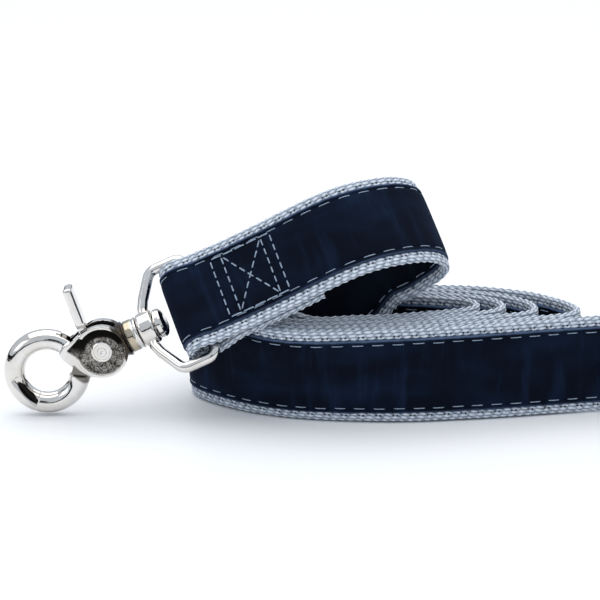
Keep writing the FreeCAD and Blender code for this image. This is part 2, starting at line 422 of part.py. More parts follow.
groove = prim("Torus", "collar_groove", {"Radius1": "Sizes.collar_r + 0.18"}, (S["collar_near"] + 0.95, 0, 0), ALONG_X, {"Radius2": 0.42})
# shallow flats beside the arm's tip, where the jaw beds
lens = []
for k, sgn in ((0, 1), (1, -1)):
    mid = (49.5, -2.0); d = (math.cos(math.radians(74)), math.sin(math.radians(74)))
    rot = FreeCAD.Rotation(V3(0, 0, 1), V3(d[0], d[1], 0))
    lens.append(prim("Cylinder", "tip_flat%d" % k, {}, (mid[0] - d[0] * 5, mid[1] - d[1] * 5, sgn * 3.55), rot, {"Radius": 1.55, "Height": 10.0}))
cutters = boolean("Fuse", "hook_cuts", [slot, pin_bore, post_bore, groove] + pan + lens)
hook = boolean("Cut", "hook_body_cut", (solid, cutters)); hook.Label = "hook_body"
hook.Placement = HOOK

# --- trigger: jaw, pivot disc and thumb lever in one casting
disc = prim("Cylinder", "jaw_disc", {"Radius": "Sizes.jaw_disc_r", "Height": "2 * Sizes.jaw_half"}, (px, py, -S["jaw_half"]))
tang_sk = doc.addObject("Sketcher::SketchObject", "TangOutline")
tpts = [(28.4, 4.7), (35.9, -0.6), (37.9, -3.2), (35.6, -6.0), (33.0, -5.2), (25.6, -4.2)]
for a, b in zip(tpts, tpts[1:] + tpts[:1]): tang_sk.addGeometry(Part.LineSegment(V3(a[0], a[1], 0), V3(b[0], b[1], 0)), False)
tang = doc.addObject("Part::Extrusion", "tang"); tang.Base = tang_sk; tang.DirMode = "Custom"; tang.Dir = V3(0, 0, 1); tang.Solid = True
tang.Symmetric = True; tang.setExpression("LengthFwd", "2 * Sizes.jaw_half")
jaw_arc = prim("Torus", "jaw_arc", {"Radius1": "Sizes.ring_mid_r", "Radius2": "Sizes.ring_wire_r"}, (rx, ry, 0), rotz(-149.0), {"Angle3": 100.5})
a0 = (29.9, 3.2); a1 = (28.45, S["lever_tip_y"]); lt = S["lever_thick"]
ld = (a1[0] - a0[0], a1[1] - a0[1]); ll = math.hypot(*ld); la = math.degrees(math.atan2(ld[1], ld[0]))
def lever_block(label, s0, s1, zh, th):
    d = (ld[0] / ll, ld[1] / ll); n = (-d[1], d[0])
    pos = (a0[0] + d[0] * s0 - n[0] * th / 2, a0[1] + d[1] * s0 - n[1] * th / 2, -zh)
    return prim("Box", label, {}, pos, rotz(la), {"Length": s1 - s0, "Width": th, "Height": 2 * zh})
stem = lever_block("lever_stem", 0.0, ll - 0.8, S["jaw_half"], lt)
pad = lever_block("lever_pad", 5.0, ll, S["lever_half"], lt + 0.1)
step1 = lever_block("lever_step1", 4.65, 7.0, 2.05, lt)
step2 = lever_block("lever_step2", 4.85, 7.0, 2.5, lt)
padf = doc.addObject("Part::Fillet", "lever_pad_round"); padf.Base = pad; doc.recompute()
longe = [i + 1 for i, e in enumerate(pad.Shape.Edges)]
padf.Edges = [(i, 0.75, 0.75) for i in longe]
trig = boolean("Fuse", "trigger_blank", [disc, tang, jaw_arc, stem, step1, step2, padf])
pin_hole = prim("Cylinder", "pin_hole", {"Radius": "Sizes.pin_hole_r"}, (px, py, -4), None, {"Height": 8.0})
spring_seat = boolean("Cut", "spring_seat", (prim("Cylinder", "seat_out", {}, (px, py, 0.05), None, {"Radius": 3.0, "Height": 3.0}),
                                             prim("Cylinder", "seat_in", {}, (px, py, -1.0), None, {"Radius": 2.0, "Height": 6.0})))
jaw = boolean("Cut", "trigger_cut", (trig, boolean("Fuse", "trigger_cuts", [pin_hole, spring_seat]))); jaw.Label = "trigger_jaw"
jaw.Placement = HOOK

# --- return spring: wire coil in the trigger's seat round the rivet
doc.recompute()
turns = []
for k in range(int(S["spring_turns"])):
    turns.append(prim("Torus", "spring_turn%d" % k, {"Radius1": "Sizes.spring_r", "Radius2": "Sizes.spring_wire"}, (px, py, 0.05 + S["spring_wire"] + 0.04 + k * 0.42)))
spring = boolean("Fuse", "return_spring_coil", turns); spring.Label = "return_spring"
spring.Placement = HOOK
doc.recompute()

parts += [eye, post, rivet, hook, jaw, spring]
bad = [o.Label for o in doc.Objects if ("Invalid" in o.State or "Error" in o.State)]
if bad: raise SystemExit("failed objects: %s" % bad)
os.makedirs("parts", exist_ok=True)
box = FreeCAD.BoundBox()
for o in parts:
    sh = o.Shape
    assert not sh.isNull() and sh.isValid(), o.Label
    b = sh.optimalBoundingBox(True, False) if sh.ShapeType != "Compound" or sh.Solids else sh.BoundBox
    box.add(b)
    print("%-26s %-9s solids %d  vol %9.2f  box %s" % (o.Label, sh.ShapeType, len(sh.Solids), sh.Volume, [round(v, 2) for v in (b.XMin, b.XMax, b.YMin, b.YMax, b.ZMin, b.ZMax)]))
    sh.exportStep("parts/%s.step" % o.Label)
print("whole box", [round(v, 3) for v in (box.XMin, box.XMax, box.YMin, box.YMax, box.ZMin, box.ZMax)])
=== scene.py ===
# Velvet-faced webbing lead with a swivel trigger snap: looks.
import bpy
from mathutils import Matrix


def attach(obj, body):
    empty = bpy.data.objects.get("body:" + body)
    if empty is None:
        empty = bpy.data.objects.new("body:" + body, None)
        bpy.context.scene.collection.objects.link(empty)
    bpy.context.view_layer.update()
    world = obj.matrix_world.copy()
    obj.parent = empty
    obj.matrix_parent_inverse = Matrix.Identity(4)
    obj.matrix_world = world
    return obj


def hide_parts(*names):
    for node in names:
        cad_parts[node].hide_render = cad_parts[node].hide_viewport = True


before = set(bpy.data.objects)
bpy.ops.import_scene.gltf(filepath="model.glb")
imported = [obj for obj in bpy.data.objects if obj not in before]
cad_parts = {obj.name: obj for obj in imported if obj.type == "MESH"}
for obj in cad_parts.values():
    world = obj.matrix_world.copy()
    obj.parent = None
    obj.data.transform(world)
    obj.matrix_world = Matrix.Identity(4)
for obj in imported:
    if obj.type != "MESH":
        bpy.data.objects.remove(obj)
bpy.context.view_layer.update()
import bpy, math
import numpy as np
from mathutils import Vector, Matrix

# ------------------------------------------------------------------ camera and stage
sc = bpy.context.scene
cam_data = bpy.data.cameras.new("camera"); cam = bpy.data.objects.new("camera", cam_data); sc.collection.objects.link(cam)
cam.location = (-0.0848975, -0.68810, 0.22518)
cam.rotation_euler = Vector((0, 0.96126, -0.27564)).to_track_quat("-Z", "Y").to_euler()
cam_data.sensor_width = 36.0; cam_data.lens = 166.7; cam_data.clip_start = 0.01; cam_data.clip_end = 50.0
sc.camera = cam
sc.view_settings.view_transform = "Standard"

# ------------------------------------------------------------------ strap route (millimetres, as in the CAD)
WEB_W, WEB_T, VEL_W, VEL_T, GAP = 25.4, 1.8, 20.2, 0.55, 0.35
ORG = np.array([84.8975, 15.2185, 0.0])
BAR = (-25.7, 6.965, 28.807)
def add(a, b): return (a[0] + b[0], a[1] + b[1], a[2] + b[2])
def sub(a, b): return (a[0] - b[0], a[1] - b[1], a[2] - b[2])
def mul(a, k): return (a[0] * k, a[1] * k, a[2] * k)
def dot(a, b): return a[0] * b[0] + a[1] * b[1] + a[2] * b[2]
def cross(a, b): return (a[1] * b[2] - a[2] * b[1], a[2] * b[0] - a[0] * b[2], a[0] * b[1] - a[1] * b[0])
def unit(a): return mul(a, 1 / math.sqrt(dot(a, a)))
T_ALL = WEB_T + 2 * VEL_T
PITCH = T_ALL + GAP
W0 = unit((0.33, -0.62, -0.71))
A0 = unit(sub((1, 0, 0), mul(W0, W0[0])))
N0 = cross(W0, A0)
def fold_point(a, b): return add(BAR, add(mul(A0, a), mul(N0, b)))

class Spline:
    """natural cubic spline through the points"""
    def __init__(self, xs, ys):
        xs = np.asarray(xs, float); ys = np.asarray(ys, float); n = len(xs); h = np.diff(xs)
        A = np.zeros((n, n)); r = np.zeros(n); A[0, 0] = A[-1, -1] = 1
        for i in range(1, n - 1):
            A[i, i - 1], A[i, i], A[i, i + 1] = h[i - 1], 2 * (h[i - 1] + h[i]), h[i]
            r[i] = 3 * ((ys[i + 1] - ys[i]) / h[i] - (ys[i] - ys[i - 1]) / h[i - 1])
        c = np.linalg.solve(A, r)
        self.x, self.y, self.c = xs, ys, c
        self.b = np.diff(ys) / h - h * (c[1:] + 2 * c[:-1]) / 3
        self.d = np.diff(c) / (3 * h)
    def __call__(self, x):
        x = np.asarray(x, float); j = np.clip(np.searchsorted(self.x, x) - 1, 0, len(self.x) - 2); t = x - self.x[j]
        return self.y[j] + self.b[j] * t + self.c[j] * t * t + self.d[j] * t ** 3

FA = [-2.4, 0, 5, 10, 15, 20, 25, 30, 35, 40, 45, 50, 55, 58.3, 60.8, 62.3, 62.6, 61.7, 59.9, 57.4, 54.2]
FB = [3.25, 3.3, 4.35, 5.55, 7.3, 9.05, 11.05, 13.05, 14.75, 15.75, 15.65, 14.55, 12.55, 10.25, 7.45, 4.35, 1.45, -1.05, -3.15, -4.95, -7.25]
FOLD_R = 3.65
def fold_controls():
    ff = Spline(FA[:12], FB[:12]); out = []
    a = 28.3
    while a > -1.9:
        e = 1e-3; sl = float((ff(a + e) - ff(a - e)) / (2 * e)); q = math.hypot(1, sl)
        t = min(max((a + 2.4) / 11.0, 0.0), 1.0); t = t * t * (3 - 2 * t)
        g = (1 - t) * 2 * FOLD_R + t * (T_ALL + 0.30)
        out.append((a + sl / q * g, float(ff(a)) - g / q)); a -= 2.2
    for k in range(11):
        th = -math.pi / 2 - k * math.pi / 10
        out.append((-2.4 + FOLD_R * math.cos(th), FB[0] - FOLD_R + FOLD_R * math.sin(th)))
    return out + list(zip(FA, FB))[1:]
def offset_poly(pts, d):
    out = []; n = len(pts)
    for i in range(n):
        a = pts[max(i - 1, 0)]; b = pts[min(i + 1, n - 1)]
        tx, ty = b[0] - a[0], b[1] - a[1]; q = math.hypot(tx, ty)
        out.append((pts[i][0] - ty / q * d, pts[i][1] + tx / q * d, pts[i][2]))
    return out
# outermost half loop seen from above: back leg, left turn, front leg (x, y, outward lean of the top edge)
C_REF = [(40, 38.0, 0), (31, 39.3, 0), (22, 40.3, 0), (12, 41.0, 0), (2, 41.3, 0), (-8, 40.8, 0), (-16, 38.8, 0), (-22.5, 35.0, 0),
         (-26.6, 29.8, 0), (-27.6, 24.8, 0), (-26.0, 20.2, 0), (-22.8, 16.0, 0), (-18.8, 12.3, 0.6), (-14.5, 9.2, 2.2), (-9.5, 6.5, 4.2),
         (-4, 4.2, 5.2), (2, 2.6, 5.2), (10, 1.3, 4.2), (18, 0.6, 3.0), (26, 0.4, 2.0), (38, 1.7, 1.2), (51, 3.8, 0.5), (64, 6.6, 0.1)]
def coil_plan():
    F = lambda k: offset_poly(C_REF, (5 - k) * PITCH)
    out = [(-3.2, 26.0, 0), (-6.8, 25.5, 0), (-9.0, 23.4, 0), (-8.4, 21.0, 0), (-5.4, 19.2, 0.8), (-1.2, 17.3, 2.5)]
    out += F(1)[16:20] + [(37.5, 15.7, 1.0), (42.6, 17.2, 0.6), (45.6, 20.2, 0.2), (45.4, 23.4, 0), (42.2, 26.2, 0), (35.5, 28.4, 0)]
    b = F(2)
    out += b[2:5] + [(-6, 31.2, 0), (-11.6, 29.8, 0), (-15.0, 27.2, 0), (-16.0, 24.2, 0), (-14.8, 21.8, 0.2), (-12.4, 19.9, 0.8)] + b[13:20]
    out += [(38, 12.1, 1.0), (47.0, 14.3, 0.5), (51.4, 17.2, 0.2), (52.6, 21.2, 0), (50.0, 25.7, 0), (44.8, 29.3, 0)]
    out += F(3)[1:20] + [(38, 8.7, 1.0), (49, 10.6, 0.5), (56.5, 12.6, 0.2), (60.3, 15.8, 0), (60.5, 20.6, 0), (57.0, 26.3, 0), (51.3, 30.4, 0), (45.2, 33.3, 0)]
    out += F(4)[1:20] + [(38, 5.2, 1.1), (51, 7.3, 0.5), (63, 9.9, 0.1), (69.2, 12.4, 0), (71.6, 16.6, 0), (70.3, 21.2, 0), (66.6, 26.2, 0), (61.2, 31.0, 0),
                         (54.6, 34.6, 0), (47.4, 36.9, 0)]
    return out + C_REF + [(77.5, 9.6, 0), (86, 11.3, 0), (94, 12.0, 0)]
HAND = [(102, 12.1), (112, 12.1), (122, 11.9), (131, 10.0), (142, 4.6), (156, -2.4), (172, -7.6), (190, -10.4), (208, -10.6), (225, -7.4),
        (238, -0.2), (243.5, 8.2), (244.2, 14.5), (242.6, 21.0), (236, 29.2), (224, 35.2), (208, 38.2), (190, 38.0), (172, 34.6), (156, 29.0),
        (142, 22.2), (131, 17.0), (122, 12.1 + PITCH), (112, 11.95 + PITCH), (102, 11.95 + PITCH), (93.5, 11.85 + PITCH)]
RETURN = [((20.6, 25.3, 35.0), (0.32, -0.58, -0.75)), ((14.6, 25.6, 29.3), (0.27, -0.47, -0.84)),
          ((8.6, 25.9, 23.8), (0.20, -0.33, -0.92)), ((2.6, 26.1, 18.6), (0.10, -0.15, -0.98))]
def controls():
    """mid point and width direction along the strap"""
    ctl = [(fold_point(a, b), W0) for a, b in fold_controls()] + [(P, unit(W)) for P, W in RETURN]
    plan = coil_plan() + [(x, y, 0) for x, y in HAND]
    for i, (x, y, lean) in enumerate(plan):
        a = plan[max(i - 1, 0)]; b = plan[min(i + 1, len(plan) - 1)]
        tx, ty = b[0] - a[0], b[1] - a[1]; q = math.hypot(tx, ty); nx, ny = ty / q, -tx / q
        hz = math.sqrt(WEB_W ** 2 - lean * lean)
        z = {0: 14.5, 1: 12.95}.get(i, hz / 2)
        ctl.append(((x + nx * lean / 2, y + ny * lean / 2, z), unit((-nx * lean, -ny * lean, -hz))))
    return ctl
CTL = controls()
SS = [0.0]
for i in range(1, len(CTL)): SS.append(SS[-1] + math.dist(CTL[i][0], CTL[i - 1][0]))
FX = [Spline(SS, [c[0][k] for c in CTL]) for k in range(3)]
FW = [Spline(SS, [c[1][k] for c in CTL]) for k in range(3)]
_u = np.linspace(0, SS[-1], 24001); _p = np.stack([f(_u) for f in FX], 1)
_l = np.concatenate([[0], np.cumsum(np.linalg.norm(np.diff(_p, axis=0), axis=1))])
LENGTH = float(_l[-1])
def frames(s):
    """middle line point, direction, width direction (to the lower edge) and face normal at lengths s"""
    s = np.asarray(s, float); u = np.interp(s, _l, _u); e = 0.02
    P = np.stack([f(u) for f in FX], 1)
    T = np.stack([f(np.minimum(u + e, SS[-1])) for f in FX], 1) - np.stack([f(np.maximum(u - e, 0)) for f in FX], 1)
    T /= np.linalg.norm(T, axis=1)[:, None]
    W = np.stack([f(u) for f in FW], 1); W = W - T * (W * T).sum(1)[:, None]; W /= np.linalg.norm(W, axis=1)[:, None]
    return P - ORG, T, W, np.cross(T, W)
print("strap length %.1f mm" % LENGTH)

# ------------------------------------------------------------------ node material helpers
class Mat:
    def __init__(self, name):
        self.m = bpy.data.materials.new(name); self.m.use_nodes = True; self.t = self.m.node_tree
        self.bsdf = self.t.nodes["Principled BSDF"]
    def new(self, kind, **kw):
        n = self.t.nodes.new(kind)
        for k, v in kw.items(): setattr(n, k, v)
        return n
    def put(self, sock, val):
        if val is None: return
        if isinstance(val, bpy.types.NodeSocket): self.t.links.new(val, sock)
        else: sock.default_value = val
    def math(self, op, a, b=None, c=None, clamp=False):
        n = self.new("ShaderNodeMath", operation=op, use_clamp=clamp)
        self.put(n.inputs[0], a); self.put(n.inputs[1], b); self.put(n.inputs[2], c)
        return n.outputs[0]
    def step(self, x, lo, hi):
        n = self.new("ShaderNodeMapRange", interpolation_type="SMOOTHSTEP")
        self.put(n.inputs[0], x); n.inputs[1].default_value = lo; n.inputs[2].default_value = hi
        return n.outputs[0]
    def attr(self, name): return self.new("ShaderNodeAttribute", attribute_name=name).outputs["Fac"]
    def vec(self, x, y, z):
        n = self.new("ShaderNodeCombineXYZ"); self.put(n.inputs[0], x); self.put(n.inputs[1], y); self.put(n.inputs[2], z)
        return n.outputs[0]
    def obj(self, scale=1.0):
        n = self.new("ShaderNodeTexCoord"); m = self.new("ShaderNodeVectorMath", operation="SCALE")
        self.t.links.new(n.outputs["Object"], m.inputs[0]); m.inputs["Scale"].default_value = scale
        return m.outputs[0]
    def noise(self, vec, scale=1.0, detail=2.0, rough=0.5):
        n = self.new("ShaderNodeTexNoise"); self.put(n.inputs["Vector"], vec)
        n.inputs["Scale"].default_value = scale; n.inputs["Detail"].default_value = detail; n.inputs["Roughness"].default_value = rough
        return n.outputs["Fac"]
    def mix(self, fac, a, b):
        n = self.new("ShaderNodeMix", data_type="RGBA"); self.put(n.inputs[0], fac)
        ins = [i for i in n.inputs if i.type == "RGBA"]
        for i, v in zip(ins, (a, b)): self.put(i, v if isinstance(v, bpy.types.NodeSocket) else (*v, 1.0))
        return [o for o in n.outputs if o.type == "RGBA"][0]
    def ramp(self, x, stops):
        n = self.new("ShaderNodeValToRGB"); self.put(n.inputs[0], x); e = n.color_ramp.elements
        while len(e) < len(stops): e.new(0.5)
        for el, (p, c) in zip(e, stops): el.position = p; el.color = (*c, 1.0)
        return n.outputs[0]
    def bump(self, h, strength, dist, normal=None):
        n = self.new("ShaderNodeBump"); n.inputs["Strength"].default_value = strength; n.inputs["Distance"].default_value = dist
        self.put(n.inputs["Height"], h); self.put(n.inputs["Normal"], normal)
        return n.outputs[0]
    def set(self, **kw):
        for k, v in kw.items():
            k = k.replace("_", " "); s = self.bsdf.inputs[k]
            if not isinstance(v, bpy.types.NodeSocket) and s.type == "RGBA" and len(v) == 3: v = (*v, 1.0)
            self.put(s, v)

# --- webbing: rows of yarn bumps along each margin, and the pairs of pinholes beside the ribbon
BUMP_U, ROW, DOT_U, DOT_ROW = 2.2, 0.92, 4.4, 2.35
wb = Mat("webbing_weave")
u, w = wb.attr("along"), wb.attr("across")            # mm along the strap, mm from the edge's crest
r = wb.math("ADD", wb.math("DIVIDE", w, ROW), 0.5); fr = wb.math("FLOOR", r)
ph = wb.math("ADD", wb.math("ADD", wb.math("DIVIDE", u, BUMP_U), wb.math("MULTIPLY", w, 0.30)), wb.math("MULTIPLY", fr, 0.5))
wob = wb.noise(wb.vec(wb.math("MULTIPLY", u, 0.8), w, 0.0), 1.0, 2.0)
ph = wb.math("ADD", ph, wb.math("MULTIPLY", wob, 0.9)); lump = wb.noise(wb.vec(wb.math("MULTIPLY", u, 0.55), wb.math("MULTIPLY", w, 0.9), 7.0), 1.0, 2.0)
s1 = wb.math("SINE", wb.math("MULTIPLY", ph, 2 * math.pi))
a1 = wb.math("ABSOLUTE", wb.math("SINE", wb.math("MULTIPLY", r, math.pi)))
h = wb.math("MULTIPLY", wb.math("POWER", a1, 0.6), wb.math("MULTIPLY_ADD", s1, 0.36, 0.64))
yarn = wb.math("SINE", wb.math("MULTIPLY", wb.math("ADD", wb.math("MULTIPLY", u, 1.0), wb.math("MULTIPLY", w, 1.35)), 2 * math.pi / 0.36))
du = wb.math("PINGPONG", wb.math("ADD", u, -DOT_U * 0.13), DOT_U / 2)          # two pinholes each DOT_U
dd = wb.math("DIVIDE", wb.math("ADD", du, -0.56), 0.27); dv = wb.math("DIVIDE", wb.math("ADD", w, -DOT_ROW), 0.30)
dot2 = wb.math("ADD", wb.math("MULTIPLY", dd, dd), wb.math("MULTIPLY", dv, dv))
hole = wb.math("SUBTRACT", 1.0, wb.step(dot2, 0.45, 1.5))
fuzz = wb.noise(wb.vec(u, w, wb.math("MULTIPLY", u, 0.11)), 3.4, 3.0, 0.7)
hh = wb.math("MULTIPLY_ADD", yarn, 0.07, h)
hh = wb.math("SUBTRACT", hh, wb.math("MULTIPLY", hole, 0.7))
hh = wb.math("ADD", hh, wb.math("MULTIPLY", fuzz, 0.45))
# painted shade: the colour follows the yarn bump height h, so the valleys between the yarn rows are painted dark;
# fuzz and lump add random tone
tone = wb.math("ADD", wb.math("MULTIPLY_ADD", fuzz, 0.46, wb.math("MULTIPLY", h, 0.72)), wb.math("MULTIPLY_ADD", lump, 0.30, -0.17))
# painted shade: the margin is darkened in the strip beside the ribbon's raised edge
tone = wb.math("SUBTRACT", tone, wb.math("MULTIPLY", wb.step(w, 2.55, 3.05), 0.30))
col = wb.ramp(tone, [(0.10, (0.030, 0.040, 0.052)), (0.32, (0.19, 0.235, 0.30)), (0.54, (0.50, 0.56, 0.65)), (0.85, (0.76, 0.81, 0.89))])
# painted shade: the pinholes, which are only dents in the bump, are coloured near black
col = wb.mix(wb.math("MULTIPLY", hole, 0.93), col, (0.012, 0.018, 0.03))
wb.set(Base_Color=col, Roughness=0.62, Normal=wb.bump(hh, 0.9, 0.00030))
wb.bsdf.inputs["Sheen Weight"].default_value = 0.12; wb.bsdf.inputs["Sheen Roughness"].default_value = 0.4
wb.bsdf.inputs["Specular IOR Level"].default_value = 0.35

# --- velvet: navy pile with crushed streaks across the ribbon, whose lighter colour is painted highlight, and pale woven edges with painted sheen
def velvet(name, base, crushed_highlight, sheen):
    m = Mat(name); u, v = m.attr("along"), m.attr("across")
    # painted sheen: the pale edge band is partly the woven selvedge and partly painted sheen of the pile curving
    # over the edge
    edge = m.step(m.math("ADD", m.math("ABSOLUTE", v), m.math("MULTIPLY_ADD", m.noise(m.vec(m.math("MULTIPLY", u, 0.5), v, 0), 1.0, 3.0), 0.5, -0.25)), 9.45, 10.05)
    # painted light: the band is full on the upper edge (v < 0) and half on the lower edge
    edge = m.math("MULTIPLY", edge, m.math("MULTIPLY_ADD", m.math("LESS_THAN", v, 0.0), 0.5, 0.5))
    streak = m.noise(m.vec(m.math("MULTIPLY", u, 0.22), m.math("MULTIPLY", v, 0.035), 0.0), 1.0, 3.0, 0.62)
    patch = m.noise(m.vec(m.math("MULTIPLY", u, 0.045), m.math("MULTIPLY", v, 0.09), 4.0), 1.0, 2.0)
    pile = m.noise(m.vec(u, v, 0.0), 7.0, 2.0, 0.6)
    # painted highlight: crushed streaks and patches of pile are lightened toward a paler navy; the streaks are also
    # real creases in the bump
    k = m.math("ADD", m.math("MULTIPLY", m.step(streak, 0.48, 0.74), 0.55), m.math("MULTIPLY", m.step(patch, 0.42, 0.72), 0.45))
    k = m.math("MULTIPLY", k, m.math("MULTIPLY_ADD", pile, 0.8, 0.6), clamp=True)
    c = m.mix(k, base, crushed_highlight)
    c = m.mix(edge, c, m.mix(pile, (0.032, 0.062, 0.130), (0.13, 0.18, 0.29)))
    hgt = m.math("ADD", m.math("MULTIPLY", streak, 0.9), m.math("MULTIPLY", pile, 0.25))
    m.set(Base_Color=c, Roughness=0.85, Normal=m.bump(hgt, 0.55, 0.00035))
    m.bsdf.inputs["Sheen Weight"].default_value = sheen; m.bsdf.inputs["Sheen Roughness"].default_value = 0.42
    m.bsdf.inputs["Sheen Tint"].default_value = (0.12, 0.25, 0.60, 1); m.bsdf.inputs["Specular IOR Level"].default_value = 0.07
    return m.m
velvet_out = velvet("velvet_navy", (0.0016, 0.0036, 0.0100), (0.0070, 0.0170, 0.044), 0.085)
# painted shade: the inner ribbon is the same velvet as the outer one, given a darker base and crush colour for the
# shaded inner face of the coil
velvet_in_shaded = velvet("velvet_navy_inner_shaded", (0.0014, 0.0028, 0.0068), (0.005, 0.010, 0.023), 0.055)

# --- thread
th = Mat("thread_twist"); u, v = th.attr("along"), th.attr("across")
tw = th.math("SINE", th.math("MULTIPLY", th.math("ADD", u, th.math("MULTIPLY", v, 0.6)), 2 * math.pi / 0.42))
tn = th.noise(th.obj(1000.0), 2.2, 2.0)
th.set(Base_Color=th.ramp(th.math("MULTIPLY_ADD", tw, 0.18, th.math("MULTIPLY", tn, 0.9)), [(0.15, (0.10, 0.15, 0.23)), (0.5, (0.30, 0.39, 0.52)), (0.8, (0.46, 0.55, 0.66))]),
       Roughness=0.5, Normal=th.bump(tw, 0.6, 0.00008))
th.bsdf.inputs["Sheen Weight"].default_value = 0.2

# ------------------------------------------------------------------ mesh helpers
def mesh_object(name, verts_mm, faces, mat, attrs=None, smooth=True):
    me = bpy.data.meshes.new(name); me.from_pydata((np.asarray(verts_mm) * 0.001).tolist(), [], faces)
    me.update()
    for k, vals in (attrs or {}).items():
        a = me.attributes.new(k, "FLOAT", "POINT"); a.data.foreach_set("value", np.asarray(vals, np.float32).ravel())
    if smooth: me.polygons.foreach_set("use_smooth", [True] * len(me.polygons))
    me.materials.append(mat); ob = bpy.data.objects.new(name, me); sc.collection.objects.link(ob)
    return ob
def strip_faces(n, m):
    i = np.arange(n - 1)[:, None] * m; j = np.arange(m)[None]; k = (j + 1) % m
    q = np.stack([i + j, i + k, i + m + k, i + m + j], -1).reshape(-1, 4).tolist()
    return q + [list(range(m))[::-1], [(n - 1) * m + t for t in range(m)]]
def placed(s, v, n):
    """points at lengths s (k), offsets v and n (k, m)"""
    P, T, W, N = frames(s)
    return P[:, None] + W[:, None] * v[..., None] + N[:, None] * n[..., None], T

# ------------------------------------------------------------------ webbing
EDGE_R = WEB_T / 2
ARC = EDGE_R * math.pi / 2
cols = []                                              # (v, n, across, row normal v, row normal n) round the section
for side in (1, -1):
    flat = [9.3, 9.8, 10.15, 10.45, 10.75, 11.05, 11.35, 11.62]
    seq = [(x, -1) for x in flat]
    for x in flat: cols.append((side * x, -side * EDGE_R, ARC + 11.8 - x, 0.0, -side * 1.0))
    for k in range(-4, 5):
        th_ = k * math.pi / 9
        cols.append((side * (11.8 + EDGE_R * math.cos(th_)), side * EDGE_R * math.sin(th_), abs(EDGE_R * th_), side * math.cos(th_), side * math.sin(th_)))
    for x in reversed(flat): cols.append((side * x, side * EDGE_R, ARC + 11.8 - x, 0.0, side * 1.0))
cols = np.array(cols)
step = 0.44
s = np.linspace(0, LENGTH, int(LENGTH / step) + 1)
U, Wc = s[:, None], cols[None, :, 2]
rr = Wc / ROW + 0.5; frr = np.floor(rr)
rng = np.random.default_rng(7)
def wander(s, scale, amp):
    """slow random change along the strap"""
    k = np.arange(0, LENGTH + 2 * scale, scale); y = rng.standard_normal(len(k)) * amp
    return np.interp(s, k, y)
hgt = np.abs(np.sin(np.pi * rr)) ** 0.6 * (0.64 + 0.36 * np.sin(2 * np.pi * (U / BUMP_U + 0.30 * Wc + 0.5 * frr + 0.25)))
near = np.clip((ARC + 11.8 - 9.9 - Wc) / 0.4, 0, 1)
out = (hgt - 0.55) * 0.22 * near
edge_amp = np.clip(1 - Wc / 1.2, 0, 1)
out = out + edge_amp * (0.15 * np.sin(2 * np.pi * (U / BUMP_U + 0.25)) - 0.02 + wander(s, 5.0, 0.05)[:, None])
end = np.minimum(s, LENGTH - s)[:, None]; out = out - 0.22 * np.exp(-(end / 0.5) ** 2) * (cols[None, :, 1] != 0)
v = cols[None, :, 0] + cols[None, :, 3] * out; n = cols[None, :, 1] + cols[None, :, 4] * out
pts, _ = placed(s, v, n)
webbing = mesh_object("webbing", pts.reshape(-1, 3), strip_faces(len(s), len(cols)), wb.m,
                      {"along": np.repeat(s, len(cols)), "across": np.tile(cols[:, 2], len(s))})

# ------------------------------------------------------------------ velvet ribbons
HALF_V, STITCH_V, PITCH_S, DASH, THREAD_R = VEL_W / 2, 8.8, 5.05, 2.9, 0.125
PROFILE = [(10.02, -0.02), (10.1, 0.12), (10.08, 0.30), (9.92, 0.45), (9.6, 0.53), (9.25, 0.52), (9.05, 0.47), (8.92, 0.38), (8.8, 0.33), (8.68, 0.38),
           (8.52, 0.48), (8.2, 0.57), (7.4, 0.62), (5.6, 0.65), (3.6, 0.66), (1.6, 0.66)]
def ribbon(name, side, mat, seed):
    rg = np.random.default_rng(seed)
    half = [(x, y) for x, y in PROFILE]
    sec = [(x, y) for x, y in half] + [(-x, y) for x, y in reversed(half)]
    sec = np.array(sec); m = len(sec); st = np.linspace(0.25, LENGTH - 0.25, int(LENGTH / 0.84) + 1)
    vv = np.tile(sec[:, 0], (len(st), 1)); tt = np.tile(sec[:, 1], (len(st), 1))
    k = np.arange(0, LENGTH + 9, 3.1); wav = lambda a: np.interp(st, k, rg.standard_normal(len(k)) * a)
    big = np.abs(vv) > 9.0
    vv = vv + np.where(big & (vv > 0), wav(0.07)[:, None], 0) - np.where(big & (vv < 0), wav(0.07)[:, None], 0)
    # the seam pulls the pile down under each stitch and lets it rise between them
    phase = (st[:, None] % PITCH_S) / PITCH_S
    under = 0.5 + 0.5 * np.cos(2 * np.pi * (phase - DASH / PITCH_S / 2))
    seam = np.exp(-((np.abs(vv) - STITCH_V) / 0.22) ** 2)
    tt = tt - seam * (under - 0.4) * 0.11
    # crushed bands across the ribbon
    k2 = np.arange(0, LENGTH + 20, 4.3); band = np.interp(st, k2, rg.standard_normal(len(k2)))
    tt = tt + np.where(tt > 0.5, 0.022 * np.clip(band, -1.6, 1.6)[:, None], 0)
    tt = np.minimum(tt, 0.70)
    endk = np.clip(np.minimum(st, LENGTH - st) / 0.8, 0.45, 1)[:, None]; tt = tt * endk
    nn = side * (WEB_T / 2 + tt)
    pts, _ = placed(st, vv, nn)
    f = strip_faces(len(st), m)
    if side > 0: f = [q[::-1] for q in f]
    return mesh_object(name, pts.reshape(-1, 3), f, mat, {"along": np.repeat(st, m), "across": vv.ravel()})
velvet_outer = ribbon("velvet_outer", -1, velvet_out, 11)
velvet_inner = ribbon("velvet_inner", 1, velvet_in_shaded, 12)

